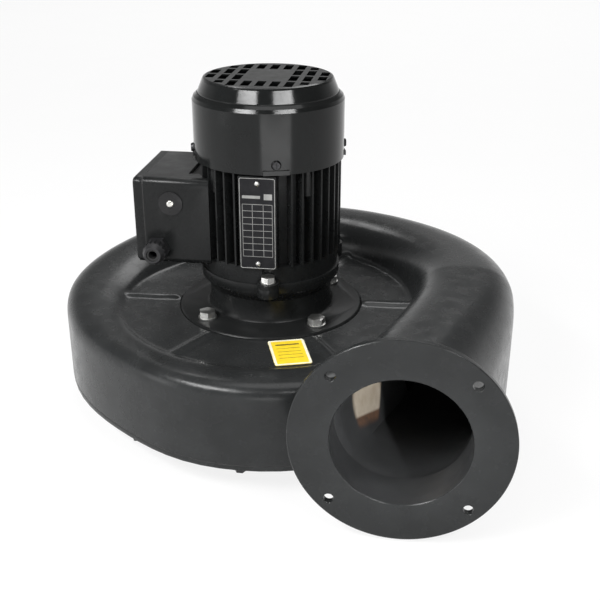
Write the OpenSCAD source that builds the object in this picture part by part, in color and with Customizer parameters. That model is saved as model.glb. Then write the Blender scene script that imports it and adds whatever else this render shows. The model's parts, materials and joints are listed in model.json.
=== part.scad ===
// Medium-pressure centrifugal blower. A finned, fan-cooled flange motor stands on the back
// plate of a cast volute; the closed impeller hangs on the motor shaft above the inlet cover.
// Z is the motor axis and points up, the origin lies in the face of the inlet flange.

/* [Volute] */
// Outer radius of the spiral at the tongue
spiral_r = 204.6; // [200:0.2:225]
// Growth of the outer radius from the tongue to the throat
spiral_gain = 60; // [48:0.5:70]
// Height of the flat back plate above the joint with the cover
plate_h = 80; // [72:1:96]
// Height of the tube crown where the spiral starts
crown_low_h = 85; // [82:1:100]
// Height of the tube crown at the throat
crown_high_h = 133; // [120:1:150]
// Wall thickness of the casting
wall = 6; // [5:0.5:8]
// Radius of the impeller chamber
chamber_r = 167; // [164:0.5:170]
// Height of the ribs on the back plate
rib_h = 3; // [2:0.5:5]

/* [Outlet] */
// Diameter of the outlet bore
outlet_bore_d = 125; // [100:1:128]
// Outer diameter of the outlet flange
outlet_flange_d = 200; // [190:1:204]
// Pitch circle of the outlet bolts
outlet_pcd = 175; // [165:1:180]
// Thickness of the outlet flange
outlet_flange_t = 7; // [6:0.5:12]
// Distance of the outlet axis from the motor axis
outlet_x = 157; // [148:1:166]
// Distance of the outlet face from the motor axis
outlet_reach = 256; // [245:1:300]
// Height of the outlet axis above the joint with the cover
outlet_h = 66.5; // [64:0.5:80]

/* [Inlet cover] */
// Diameter of the inlet bore
inlet_bore_d = 125; // [110:1:128]
// Outer diameter of the inlet flange
inlet_flange_d = 200; // [190:1:220]
// Pitch circle of the inlet bolts
inlet_pcd = 175; // [165:1:185]
// Height of the inlet collar under the cover
inlet_len = 30; // [28:1:60]
// Thickness of the cover plate
cover_t = 5; // [4:0.5:8]

/* [Impeller] */
// Outer diameter of the impeller
impeller_d = 300; // [280:1:312]
// Width of the impeller at its rim
impeller_rim_w = 28; // [22:1:34]
// Number of blades
blade_count = 12; // [8:1:14]
// Thickness of the impeller sheet
sheet_t = 2; // [1.5:0.5:3]
// Inner radius of the impeller eye
eye_r = 62; // [60:0.5:66]

/* [Motor] */
// Outer diameter of the mounting flange
flange_d = 200; // [190:1:204]
// Pitch circle of the mounting flange bolts
flange_pcd = 165; // [160:1:170]
// Diameter of the centring spigot
spigot_d = 130; // [120:1:136]
// Length of the frame between the end shields
frame_len = 120; // [112:1:160]
// Inner diameter of the frame
frame_bore_d = 120; // [116:1:124]
// Diameter over the cooling fins
fin_d = 151; // [147:1:152]
// Number of fin positions round the frame
fin_count = 40; // [32:1:44]
// Thickness of a fin
fin_t = 2.4; // [1.8:0.1:3]
// Diameter of the shaft extension
shaft_d = 19; // [16:1:19]
// Outer diameter of the fan cowl
cowl_d = 156; // [155:1:162]
// Height of the fan cowl
cowl_h = 82; // [78:1:100]
// Number of cooling fan blades
fan_blades = 8; // [5:1:11]

/* [Terminal box] */
// Width of the box along Y
box_w = 109; // [96:1:116]
// Height of the box
box_h = 92; // [84:1:96]
// Distance of the lid's face from the motor axis
box_reach = 131; // [126:1:150]
// Wall thickness of the box
box_wall = 4; // [3:0.5:5]

/* [Hidden] */
$fn = 96;
fine_fn = 48;
eps = 0.5;              // overshoot of a cutting tool
fit = 0.05;             // radial clearance of a turned or reamed fit
gap = 0.3;              // clearance between loose neighbours

// --- stack of levels from the inlet flange up to the top of the cowl
gasket_t = 1;
inlet_flange_t = 6;
case_z = inlet_len + cover_t + gasket_t;      // joint face of the casting
plate_z = case_z + plate_h;                   // top of the back plate
plate_t = 12;
ceiling_z = plate_z - plate_t;                // roof of the chamber
seat_depth = 8;
seat_z = plate_z - seat_depth;                // seat of the motor flange
seat_t = 10;
flange_t = 10;
spigot_h = 3.5;
neck_h = 48;
rim_z = seat_z + neck_h;                      // underside of the shield's upper rim
rim_t = 10;
frame_z = rim_z + rim_t;
ear_t = 5;               // thickness of the frame's ears
fin_z = frame_z + 18;
frame_top = frame_z + frame_len;
rear_plate_t = 6;
cowl_z = frame_top - 3;
cowl_top = cowl_z + cowl_h;

// --- volute
tongue_angle = -70;     // direction of the tongue, degrees from +X
throat_phi = 290;       // spiral angle from the tongue to the throat
start_phi = -35;        // the spiral starts inside the outlet duct
first_knot = -90;       // the two tables hold a value every knot_step degrees from here
knot_step = 30;
// Share of the radial growth: the casting is drawn in at the front, then swells quickly.
growth = [0.06, 0.06, 0.07, 0.08, 0.057, -0.027, 0.233, 0.63, 0.743, 0.787, 0.809, 0.86, 0.93, 1.035, 1.14];
// Share of the rise of the crown.
rise = [0, 0, 0, 0, 0, 0, 0.03, 0.173, 0.42, 0.617, 0.7, 0.76, 0.89, 1.04, 1.15];
phi_step = 6;           // step of the air passage round the spiral
spiral_steps = 54;      // steps of the outer skin round the spiral
outlet_z = case_z + outlet_h;
outlet_r = outlet_bore_d / 2;
duct_r = outlet_r + wall + 0.5;
duct_steps = 12;
bore_depth = 41;        // machined length of the outlet bore
floor_pts = 4;          // points along one side of a tube section
wall_pts = 3;
crown_pts = 16;
crown_power = 0.68;     // squareness of the crown, 1 gives an ellipse
tube_inner_r = chamber_r - 9;
plate_r = chamber_r + 1;
tube_start_phi = 2;
throat_open_phi = 262;  // the tube has its own floor beyond this angle

// --- motor, rotor and impeller
fin_root_r = frame_bore_d / 2 + 4;
fin_tip_r = fin_d / 2;
neck_r = 66;
flange_bolt_r = flange_pcd / 2;
ear_r = 79;             // pitch radius of the ears that join shield and frame
ear_size = 11;
ear_web = 21;
ear_root_r = frame_bore_d / 2 + 3;
ear_angle = -82;
ear_count = 3;
shield_wall = 8;
shield_rim_r = fin_tip_r - 1;
bearing_bore_r = 10;
bearing_r = 23.5;
bearing_w = 14;
ball_r = 3.95;
ball_pitch_r = 16.75;
ball_count = 8;
front_bearing_z = rim_z - 8;
rear_bearing_z = frame_top + 1;
core_z = frame_z + 27;
end_turn_h = 15;         // height of the end windings
end_turn_r = [38, frame_bore_d / 2 - 8];
core_len = 75;
air_gap_r = 35;
slot_count = 24;
shaft_r = shaft_d / 2;
shaft_ext = 40;
shaft_end_z = seat_z - shaft_ext;
fan_seat_r = 8;
fan_z = rear_bearing_z + bearing_w + 5;
fan_hub_h = 22;
shaft_top = fan_z + fan_hub_h + 6;
fan_disc_r = 60;
fan_disc_t = 2.5;
fan_blade_h = 26;
fan_blade_r = 66;
circlip_z = fan_z + fan_hub_h + 0.1;
circlip_t = 1.2;
preload_t = 1;
seal_r = 17;
slot_r = [39, frame_bore_d / 2 - 9];
slot_tangential = 5;
rear_hub_h = bearing_w + preload_t + 3;
key_w = 6;
key_out = 2.8;          // height of the key above the shaft
key_in = 3.5;           // depth of the key in the shaft
frame_boss_r = 6.5;     // bosses for the screws of the rear shield
frame_boss_at = frame_bore_d / 2 + frame_boss_r;

// --- fan cowl
cowl_r = cowl_d / 2;
cowl_t = 1.5;
cowl_in_r = cowl_r - cowl_t;
cowl_screw_angle = -75;
cowl_screw_z = frame_top + 7;
lug_h = 13;             // lugs of the rear shield that carry the cowl
lug_gap = 0.8;
slot_pitch = 14.2;
slot_w = 8.6;
slot_len = 24;
slot_cross = 5;
grille_r = cowl_r - 13.5;   // reaches the rim of the flat top

impeller_r = impeller_d / 2;
hub_r = 22;
hub_z = shaft_end_z - 2;
hub_h = 34;
hub_flange_r = 36;
hub_flange_t = 5;
rivet_r = 2;
hub_rivets = 8;
end_washer_t = 4;
key_z = [shaft_end_z + 5, seat_z - 9];
back_z = seat_z - seat_t - 8;                 // top of the impeller's back plate
shroud_rim_z = back_z - sheet_t - impeller_rim_w;
shroud_eye_z = shroud_rim_z - 14;
eye_ring_h = 5;
eye_out_r = eye_r + 4;
blade_r1 = 68;
blade_r2 = impeller_r - 1;
blade_in_angle = 30;
blade_out_angle = 50;

// --- fasteners: [thread radius, width across flats, head height]
m6 = [3, 10, 4];
m8 = [4, 13, 5.3];
m10 = [5, 16, 6.4];
m5_r = 2.5;             // thread radius of the small pan head screws
hole_clear = 0.5;

// --- terminal box
box_y = -5.5;
box_z = frame_z + 58;
lid_t = 10;
lid_gasket_t = 1;
box_corner = 7;
box_inner_corner = 1.5;
box_face_x = -(box_reach - lid_t - lid_gasket_t);
box_floor_x = -77;
box_root_x = -52;
pad_y = [-38, 30];
pad_z = [frame_z + 16, frame_top - 20];
box_front_y = box_y - box_w / 2;
gland_pos = [-108, box_z - 29.5];
plug_pos = [-92, box_z + 20];
gland_r = 10;
board_w = 62;
board_h = 34;
board_t = 9;
board_x = box_floor_x - 4;
board_pos = [1, box_z];
stud_rows = [-9, 9];
stud_cols = [-20, 0, 20];
stud_r = 2;
box_screws_at = [[-24, -24], [-24, 24], [22, -24], [22, 24]];
lid_screw_pos = [for (c = [[9, 1], [26, -1]], y = [-1, 1])
    [box_y + y * (box_w / 2 - c[0]), box_z + c[1] * (box_h / 2 - 9)]];
lid_pillar_r = 7;
lid_head_r = 5.3;        // counterbore of the lid screws
lid_head_depth = 4;

// --- nameplate and label
name_w = 38;
name_h = 95;
name_x = 1;
name_y = -fin_tip_r - 1;
label_size = [37, 54, 0.4];
label_angle = -72;
label_r = flange_d / 2 + 2 + label_size[1] / 2;
name_t = 0.8;
nameplate_rivet_z = [fin_z + 6, fin_z + name_h - 5];
name_rivet_r = 1.5;

CAST = "#2c2e30";
STEEL = "#8f9396";
ZINC = "#b9bcc0";
ALLOY = "#a9acae";
BLACK = "#1c1d1f";
BRASS = "#b08d45";
COPPER = "#a8602c";
LAMINATE = "#6b4a33";
YELLOW = "#e8c21a";

// ---------- functions

function lerp(a, b, w) = a + (b - a) * w;
function clamp01(x) = max(0, min(1, x));
function ease(x) = let(t = clamp01(x)) t * t * (3 - 2 * t);
function soft(x) = sign(x) * pow(abs(x), crown_power);

// Smooth curve through a table with one value every knot_step degrees from first_knot on.
function along(table, phi) =
    let(x = (phi - first_knot) / knot_step, i = floor(x), w = x - i,
        a = table[i - 1], b = table[i], c = table[i + 1], d = table[i + 2])
    b + 0.5 * w * (c - a + w * (2 * a - 5 * b + 4 * c - d + w * (3 * (b - c) + d - a)));

// Outer radius of the spiral, phi degrees after the tongue.
function spiral(phi) = spiral_r + spiral_gain * along(growth, phi);
// Height of the crown of the tube.
function crown_z(phi) = case_z + lerp(crown_low_h, crown_high_h, along(rise, phi));
// Height at which the outer wall starts to round over.
function shoulder_z(phi) = crown_z(phi) - lerp(20, 58, ease((phi - 40) / (throat_phi - 20)));
function spiral_point(phi, inset = 0) =
    let(a = tongue_angle - phi, r = spiral(phi) - inset) [r * cos(a), r * sin(a)];

// One closed section [radius, height]: flat floor, upright walls, rounded crown.
function tube_section(r0, r1, z0, zs, zt) =
    let(c = (r0 + r1) / 2, h = (r1 - r0) / 2)
    concat(
        [for (k = [0 : floor_pts - 1]) [lerp(r0, r1, k / floor_pts), z0]],
        [for (k = [0 : wall_pts - 1]) [r1, lerp(z0, zs, k / wall_pts)]],
        [for (k = [0 : crown_pts - 1]) let(a = 180 * k / crown_pts)
            [c + h * soft(cos(a)), zs + (zt - zs) * soft(sin(a))]],
        [for (k = [0 : wall_pts - 1]) [r0, lerp(zs, z0, k / wall_pts)]]);

// The same points laid round a circle, for the end of the outlet duct.
function round_section(r) =
    let(angles = concat(
        [for (k = [0 : floor_pts - 1]) -135 + 90 * k / floor_pts],
        [for (k = [0 : wall_pts - 1]) -45 + 45 * k / wall_pts],
        [for (k = [0 : crown_pts - 1]) 180 * k / crown_pts],
        [for (k = [0 : wall_pts - 1]) 180 + 45 * k / wall_pts]))
    [for (a = angles) [outlet_x + r * cos(a), outlet_z + r * sin(a)]];

function morph(a, b, w) = [for (k = [0 : len(a) - 1]) lerp(a[k], b[k], w)];

// A section stood in the radial plane at phi, or in the plane y = -reach of the duct.
function stand_radial(section, phi) =
    let(a = tongue_angle - phi) [for (p = section) [p[0] * cos(a), p[0] * sin(a), p[1]]];
function stand_across(section, reach) = [for (p = section) [p[0], -reach, p[1]]];

// Sections of the outer skin and of the air passage, from the tongue round to the outlet.
function skin_section(phi) =
    tube_section(tube_inner_r, spiral(phi), case_z, shoulder_z(phi), crown_z(phi));
function bore_floor(phi) = phi < throat_open_phi ? case_z - 1 : case_z + wall;
function bore_section(phi) =
    let(opening = ease(phi / 50), r0 = chamber_r - 3)
    tube_section(r0, lerp(chamber_r + 6, spiral(phi) - wall, opening), bore_floor(phi),
        shoulder_z(phi) - wall / 2, crown_z(phi) - wall);

throat_skin = skin_section(throat_phi);
throat_bore = bore_section(throat_phi);
skin_end = outlet_reach - outlet_flange_t;
bore_end = outlet_reach - bore_depth;
spiral_rings = [for (k = [0 : spiral_steps]) let(phi = lerp(start_phi, throat_phi, k / spiral_steps))
    stand_radial(skin_section(phi), phi)];
duct_rings = [for (k = [0 : duct_steps]) let(s = k / duct_steps)
    stand_across(morph(throat_skin, round_section(duct_r), ease(s)), skin_end * s)];
bore_rings = concat(
    [for (phi = [tube_start_phi : phi_step : throat_phi - 1]) stand_radial(bore_section(phi), phi)],
    [for (k = [0 : duct_steps]) let(s = k / duct_steps, w = ease(s * bore_end / skin_end))
        stand_across(morph(throat_bore, round_section(outlet_r + 1), k == duct_steps ? 1 : w),
            bore_end * s)]);

// Outline of the cover: the spiral, closed by a straight edge under the duct.
cover_phi = [-8, 282];
outline_steps = 54;
function cover_edge(grow) = [for (k = [0 : outline_steps])
    spiral_point(lerp(cover_phi[0], cover_phi[1], k / outline_steps), -grow)];
cover_outline = cover_edge(0);
cover_rim_phi = [for (k = [0 : 7]) 19 + 36 * k];
chord_a = spiral_point(cover_phi[0]);
chord_b = spiral_point(cover_phi[1]);
chord_dir = (chord_b - chord_a) / norm(chord_b - chord_a);
chord_in = [-chord_dir[1], chord_dir[0]];
bolt_inset = 9;
cover_bolts_at = concat(
    [for (phi = cover_rim_phi) spiral_point(phi, bolt_inset)],
    [for (w = [0.3, 0.7]) lerp(chord_a, chord_b, w) + chord_in * bolt_inset]);

// ---------- shared shapes

function centre(ring) = [for (axis = [0 : 2]) let(v = [for (p = ring) p[axis]]) (max(v) + min(v)) / 2];

// Skin through a list of closed rings of equal length, its two ends closed by fans.
module loft(rings) {
    n = len(rings[0]);
    m = len(rings);
    sides = [for (i = [0 : m - 2], k = [0 : n - 1])
        [i * n + k, (i + 1) * n + k, (i + 1) * n + (k + 1) % n, i * n + (k + 1) % n]];
    first = [for (k = [0 : n - 1]) [m * n, k, (k + 1) % n]];
    last = [for (k = [0 : n - 1]) [m * n + 1, (m - 1) * n + (k + 1) % n, (m - 1) * n + k]];
    polyhedron(
        points = concat([for (r = rings, p = r) p], [centre(rings[0]), centre(rings[m - 1])]),
        faces = concat(sides, first, last));
}

module disc(r, z0, z1) {
    translate([0, 0, z0]) cylinder(r = r, h = z1 - z0);
}

module tube(r_out, r_in, z0, z1) {
    difference() {
        disc(r_out, z0, z1);
        disc(r_in, z0 - eps, z1 + eps);
    }
}

// Puts its children at count places on a circle.
module around(count, r = 0, first = 0) {
    for (k = [0 : count - 1]) rotate(first + 360 * k / count) translate([r, 0, 0]) children();
}

// Lays its children, built along +Z, along -Y.
module toward_front(x, z, y) {
    translate([x, y, z]) rotate([90, 0, 0]) children();
}

// Lays its children, built along +Z, along -X.
module toward_left(y, z, x) {
    translate([x, y, z]) rotate([0, -90, 0]) children();
}

// Hexagon head screw: seat at z = 0, head up, shank down.
module hex_screw(size, length) {
    cylinder(r = size[1] / 2 / cos(30), h = size[2], $fn = 6);
    translate([0, 0, -length]) cylinder(r = size[0], h = length + 0.1, $fn = fine_fn);
}

// Screw with a round washer under its head.
module washer_screw(size, length, washer_t = 1.5) {
    cylinder(r = size[1] * 0.62, h = washer_t, $fn = fine_fn);
    translate([0, 0, washer_t]) hex_screw(size, length + washer_t);
}

// Pan head screw with a straight slot.
module pan_screw(r, length) {
    head_h = r * 1.1;
    difference() {
        cylinder(r1 = r * 2, r2 = r * 1.5, h = head_h, $fn = fine_fn);
        translate([-r * 2.2, -r * 0.2, head_h * 0.5]) cube([r * 4.4, r * 0.4, head_h]);
    }
    translate([0, 0, -length]) cylinder(r = r, h = length + 0.1, $fn = fine_fn);
}

module rounded_plate(w, h, r, t) {
    linear_extrude(t) {
        square([w - 2 * r, h], center = true);
        square([w, h - 2 * r], center = true);
        for (x = [-1, 1], y = [-1, 1]) translate([x * (w / 2 - r), y * (h / 2 - r)]) circle(r, $fn = fine_fn);
    }
}

// ---------- volute, cover and their fasteners

module chamber() {
    difference() {
        disc(chamber_r, case_z - eps, ceiling_z);
        disc(flange_bolt_r + 28, seat_z - seat_t, ceiling_z + eps);
    }
}

module outlet_bolt_holes() {
    toward_front(outlet_x, outlet_z, -outlet_reach + outlet_flange_t + eps)
        around(4, outlet_pcd / 2, 45) cylinder(r = 4.75, h = outlet_flange_t + 2 * eps, $fn = fine_fn);
}

module plate_rib(angle) {
    rotate(angle) translate([flange_d / 2 + 4, -3.5, plate_z - 1])
        cube([tube_inner_r - flange_d / 2, 7, rib_h + 1]);
}

module scroll_housing() {
    color(CAST)
    difference() {
        union() {
            difference() {
                union() {
                    loft(spiral_rings);
                    loft(duct_rings);
                    disc(plate_r, case_z, plate_z);
                    for (a = [3 : 60 : 303]) plate_rib(a);
                    toward_front(outlet_x, outlet_z, -outlet_reach + outlet_flange_t)
                        cylinder(d = outlet_flange_d, h = outlet_flange_t);
                }
                chamber();
                loft(bore_rings);
                toward_front(outlet_x, outlet_z, -bore_end + eps)
                    cylinder(r = outlet_r, h = bore_depth + 2 * eps);
            }
            for (p = cover_bolts_at) translate([p[0], p[1], case_z]) cylinder(r = 7, h = 22);
        }
        translate([0, 0, case_z - 2 * wall]) linear_extrude(2 * wall) polygon(cover_edge(1));
        disc(flange_d / 2 + gap, seat_z, plate_z + eps);
        disc(spigot_d / 2 + fit, seat_z - seat_t - eps, plate_z);
        around(4, flange_bolt_r, 45) disc(m10[0] + 0.1, seat_z - seat_t - eps, seat_z + eps);
        for (p = cover_bolts_at)
            translate([p[0], p[1], case_z - eps]) cylinder(r = m6[0] + 0.1, h = 18, $fn = fine_fn);
        outlet_bolt_holes();
    }
}

module inlet_cover() {
    rim_z0 = case_z - gasket_t - cover_t;
    color(CAST)
    difference() {
        union() {
            translate([0, 0, rim_z0]) linear_extrude(cover_t) polygon(cover_outline);
            disc(inlet_bore_d / 2 + wall, 0, rim_z0 + cover_t);
            disc(inlet_flange_d / 2, 0, inlet_flange_t);
            around(8, 0, 22.5) translate([inlet_bore_d / 2, -2, inlet_flange_t - 1])
                cube([26, 4, rim_z0 - inlet_flange_t + 2]);
            inlet_nozzle();
        }
        inlet_passage();
        around(4, inlet_pcd / 2, 45) disc(4.75, -eps, inlet_flange_t + eps, $fn = fine_fn);
        for (p = cover_bolts_at)
            translate([p[0], p[1], rim_z0 - eps])
                cylinder(r = m6[0] + hole_clear, h = cover_t + 1, $fn = fine_fn);
    }
}

// Nozzle that narrows from the inlet bore into the eye of the impeller.
nozzle_t = 2.5;
nozzle_r0 = inlet_bore_d / 2;
nozzle_r1 = eye_r - 2.5 - nozzle_t;
nozzle_z0 = inlet_len;
nozzle_z1 = shroud_eye_z + 1;
throat_h = 8;           // straight mouth of the nozzle
module inlet_nozzle() {
    rotate_extrude() polygon([
        [0, nozzle_z0], [nozzle_r0 + wall, nozzle_z0], [nozzle_r0 + wall, case_z],
        [nozzle_r1 + nozzle_t, nozzle_z1 - throat_h], [nozzle_r1 + nozzle_t, nozzle_z1], [0, nozzle_z1]]);
}

module inlet_passage() {
    rotate_extrude() polygon([
        [0, -eps], [nozzle_r0, -eps], [nozzle_r0, nozzle_z0], [nozzle_r1, nozzle_z1 - throat_h],
        [nozzle_r1, nozzle_z1 + eps], [0, nozzle_z1 + eps]]);
}

module cover_gasket() {
    color(BLACK)
    translate([0, 0, case_z - gasket_t]) linear_extrude(gasket_t) difference() {
        polygon(cover_outline);
        circle(chamber_r);
        polygon(concat(
            [for (k = [1 : 31]) spiral_point(lerp(4, throat_open_phi - 4, k / 32), 2 * bolt_inset)],
            [[chamber_r * 0.6, 0]]));
        for (p = cover_bolts_at) translate(p) circle(m6[0] + hole_clear, $fn = fine_fn);
    }
}

module cover_bolts() {
    color(ZINC)
    for (p = cover_bolts_at)
        translate([p[0], p[1], inlet_len]) rotate([180, 0, 0]) washer_screw(m6, 18);
}

// ---------- impeller

// Height of the shroud's inner face at radius r.
function shroud_z(r) = lerp(shroud_eye_z, shroud_rim_z, clamp01((r - eye_out_r) / (impeller_r - eye_out_r)));

module impeller_back_plate() {
    color(ALLOY)
    difference() {
        disc(impeller_r, back_z - sheet_t, back_z);
        disc(hub_r + fit, back_z - sheet_t - eps, back_z + eps);
        around(hub_rivets, hub_flange_r - 5)
            disc(rivet_r + fit, back_z - sheet_t - eps, back_z + eps, $fn = fine_fn);
    }
}

// Blades are circular arcs that leave the eye at one angle and the rim at another.
blade_rho = (pow(blade_r2, 2) - pow(blade_r1, 2))
    / (2 * (blade_r2 * cos(blade_out_angle) - blade_r1 * cos(blade_in_angle)));
blade_c = sqrt(pow(blade_rho, 2) + pow(blade_r1, 2) - 2 * blade_rho * blade_r1 * cos(blade_in_angle));
function blade_psi(r) = acos((r * r - blade_c * blade_c - blade_rho * blade_rho) / (2 * blade_c * blade_rho));

module blade() {
    top = back_z - sheet_t;
    intersection() {
        translate([blade_c, 0, 0]) rotate(-blade_psi(blade_r1))
            rotate_extrude(angle = blade_psi(blade_r1) - blade_psi(blade_r2), $fn = 180)
                translate([blade_rho - sheet_t / 2, shroud_eye_z]) square([sheet_t, top - shroud_eye_z]);
        rotate_extrude() polygon([
            [blade_r1 - 6, shroud_z(eye_out_r)], [eye_out_r, shroud_z(eye_out_r)],
            [impeller_r, shroud_z(impeller_r)], [impeller_r, top], [blade_r1 - 6, top]]);
    }
}

module impeller_blades() {
    color(ALLOY) around(blade_count) blade();
}

module impeller_shroud() {
    eye_z = shroud_z(eye_out_r);
    color(ALLOY)
    rotate_extrude() polygon([
        [eye_r, eye_z - eye_ring_h], [eye_r + sheet_t, eye_z - eye_ring_h],
        [eye_r + sheet_t, eye_z - sheet_t], [eye_out_r, eye_z - sheet_t],
        [impeller_r, shroud_rim_z - sheet_t], [impeller_r, shroud_rim_z],
        [eye_out_r, eye_z], [eye_r, eye_z]]);
}

module impeller_hub() {
    color(ALLOY)
    difference() {
        union() {
            disc(hub_r, hub_z, hub_z + hub_h);
            disc(hub_flange_r, back_z, back_z + hub_flange_t);
        }
        disc(shaft_r + fit, hub_z - eps, hub_z + hub_h + eps);
        translate([0, -key_w / 2 - fit, hub_z - eps])
            cube([shaft_r + key_out + 0.2, key_w + 2 * fit, hub_h + 2 * eps]);
        around(hub_rivets, hub_flange_r - 5)
            disc(rivet_r + fit, back_z - eps, back_z + hub_flange_t + eps, $fn = fine_fn);
    }
}

module impeller_rivets() {
    color(ALLOY)
    around(hub_rivets, hub_flange_r - 5) {
        disc(rivet_r, back_z - sheet_t, back_z + hub_flange_t, $fn = fine_fn);
        translate([0, 0, back_z - sheet_t]) rivet_head(-1);
        translate([0, 0, back_z + hub_flange_t]) rivet_head(1);
    }
}

// Domed head, up or down from z = 0.
module rivet_head(up) {
    dome_r = 2 * rivet_r;
    sunk = 0.9 * rivet_r;
    intersection() {
        translate([0, 0, -up * sunk]) sphere(r = dome_r, $fn = fine_fn);
        translate([-dome_r, -dome_r, up > 0 ? 0 : -dome_r]) cube([2 * dome_r, 2 * dome_r, dome_r]);
    }
}

module impeller_key() {
    color(STEEL)
    translate([shaft_r - key_in, -key_w / 2, key_z[0]]) cube([key_in + key_out, key_w, key_z[1] - key_z[0]]);
}

module impeller_washer() {
    color(ZINC) tube(16, m8[0] + hole_clear, hub_z - end_washer_t, hub_z);
}

module impeller_bolt() {
    color(ZINC)
    translate([0, 0, hub_z - end_washer_t]) rotate([180, 0, 0]) washer_screw(m8, 22, 2);
}

// ---------- shaft, bearings and the active parts of the motor

module shaft() {
    b0 = front_bearing_z;
    b1 = rear_bearing_z;
    color(STEEL)
    difference() {
        rotate_extrude() polygon([
            [0, shaft_end_z], [shaft_r - 1, shaft_end_z], [shaft_r, shaft_end_z + 1], [shaft_r, seat_z],
            [bearing_bore_r, seat_z], [bearing_bore_r, b0 + bearing_w], [12.5, b0 + bearing_w],
            [12.5, core_z - 12], [14, core_z - 12], [14, core_z + core_len + 12],
            [12.5, core_z + core_len + 12], [12.5, b1], [bearing_bore_r, b1],
            [bearing_bore_r, b1 + bearing_w], [fan_seat_r, b1 + bearing_w],
            [fan_seat_r, circlip_z], [fan_seat_r - 0.6, circlip_z], [fan_seat_r - 0.6, circlip_z + circlip_t],
            [fan_seat_r, circlip_z + circlip_t], [fan_seat_r, shaft_top - 1], [fan_seat_r - 1, shaft_top],
            [0, shaft_top]]);
        translate([shaft_r - key_in, -key_w / 2, key_z[0]]) cube([key_in + 1, key_w, key_z[1] - key_z[0]]);
        disc(m8[0], shaft_end_z - eps, shaft_end_z + 24, $fn = fine_fn);
    }
}

module shaft_seal() {
    z0 = seat_z - spigot_h;
    color(BLACK)
    rotate_extrude() polygon([
        [bearing_bore_r + 0.08, z0 + 6], [bearing_bore_r + 0.08, z0 + 3.5], [12, z0 + 1], [seal_r, z0 + 1],
        [seal_r, z0 + 7], [12.5, z0 + 7], [12.5, z0 + 6]]);
}

module rotor_core() {
    color(STEEL) tube(air_gap_r - 0.4, 14, core_z, core_z + core_len);
}

// End rings of the cage, with small stirring vanes on their outer faces.
module rotor_cage() {
    ring_h = 9;
    vane_h = 5;
    color(ALLOY)
    for (end = [0, 1]) {
        z = end == 0 ? core_z - ring_h : core_z + core_len;
        tube(air_gap_r - 2, 21, z, z + ring_h);
        around(8, (air_gap_r + 19) / 2)
            translate([-5, -1.5, end == 0 ? z - vane_h : z + ring_h - 0.1]) cube([10, 3, vane_h + 0.1]);
    }
}

module slot_shapes(grow) {
    for (k = [0 : slot_count - 1]) rotate(360 * k / slot_count)
        translate([slot_r[0] - grow, -slot_tangential / 2 - grow])
            square([slot_r[1] - slot_r[0] + 2 * grow, slot_tangential + 2 * grow]);
}

module stator_core() {
    color(STEEL)
    translate([0, 0, core_z]) linear_extrude(core_len) difference() {
        circle(frame_bore_d / 2 - fit);
        circle(air_gap_r);
        slot_shapes(0);
    }
}

// Coils in the slots, tied into a round-edged ring at either end of the core.
module stator_windings() {
    w = end_turn_r[1] - end_turn_r[0];
    edge = min(4, 0.3 * w);
    color(COPPER) {
        translate([0, 0, core_z - 1]) linear_extrude(core_len + 2) slot_shapes(-0.2);
        for (z = [core_z - end_turn_h - eps, core_z + core_len + eps])
            rotate_extrude() translate([end_turn_r[0], z]) union() {
                translate([edge, 0]) square([w - 2 * edge, end_turn_h]);
                translate([0, edge]) square([w, end_turn_h - 2 * edge]);
                for (x = [edge, w - edge], y = [edge, end_turn_h - edge])
                    translate([x, y]) circle(edge, $fn = fine_fn);
            }
    }
}

module race_groove(z) {
    rotate_extrude() translate([ball_pitch_r, z + bearing_w / 2]) circle(ball_r + 0.1, $fn = fine_fn);
}

module outer_race(z) {
    color(STEEL) difference() {
        tube(bearing_r, ball_pitch_r + 2.6, z, z + bearing_w);
        race_groove(z);
    }
}

module inner_race(z) {
    color(STEEL) difference() {
        tube(ball_pitch_r - 2.6, bearing_bore_r, z, z + bearing_w);
        race_groove(z);
    }
}

// Pressed cage with its balls.
module ball_cage(z) {
    mid = z + bearing_w / 2;
    color(BRASS) {
        difference() {
            tube(ball_pitch_r + 0.9, ball_pitch_r - 0.9, mid - 5, mid + 5);
            around(ball_count, ball_pitch_r) translate([0, 0, mid]) sphere(r = ball_r + 0.1, $fn = fine_fn);
        }
        around(ball_count, ball_pitch_r) translate([0, 0, mid]) sphere(r = ball_r, $fn = fine_fn);
    }
}

module front_bearing_outer() { outer_race(front_bearing_z); }
module front_bearing_inner() { inner_race(front_bearing_z); }
module front_bearing_cage() { ball_cage(front_bearing_z); }
module rear_bearing_outer() { outer_race(rear_bearing_z); }
module rear_bearing_inner() { inner_race(rear_bearing_z); }
module rear_bearing_cage() { ball_cage(rear_bearing_z); }

module preload_washer() {
    z = rear_bearing_z + bearing_w;
    color(STEEL) tube(bearing_r - 0.2, bearing_r - 4, z, z + preload_t);
}

// ---------- end shields and frame

module ears(z0, z1) {
    around(ear_count, 0, ear_angle) {
        translate([ear_r, 0, z0]) cylinder(r = ear_size, h = z1 - z0, $fn = fine_fn);
        translate([ear_root_r, -ear_web / 2, z0]) cube([ear_r - ear_root_r, ear_web, z1 - z0]);
    }
}

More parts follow.
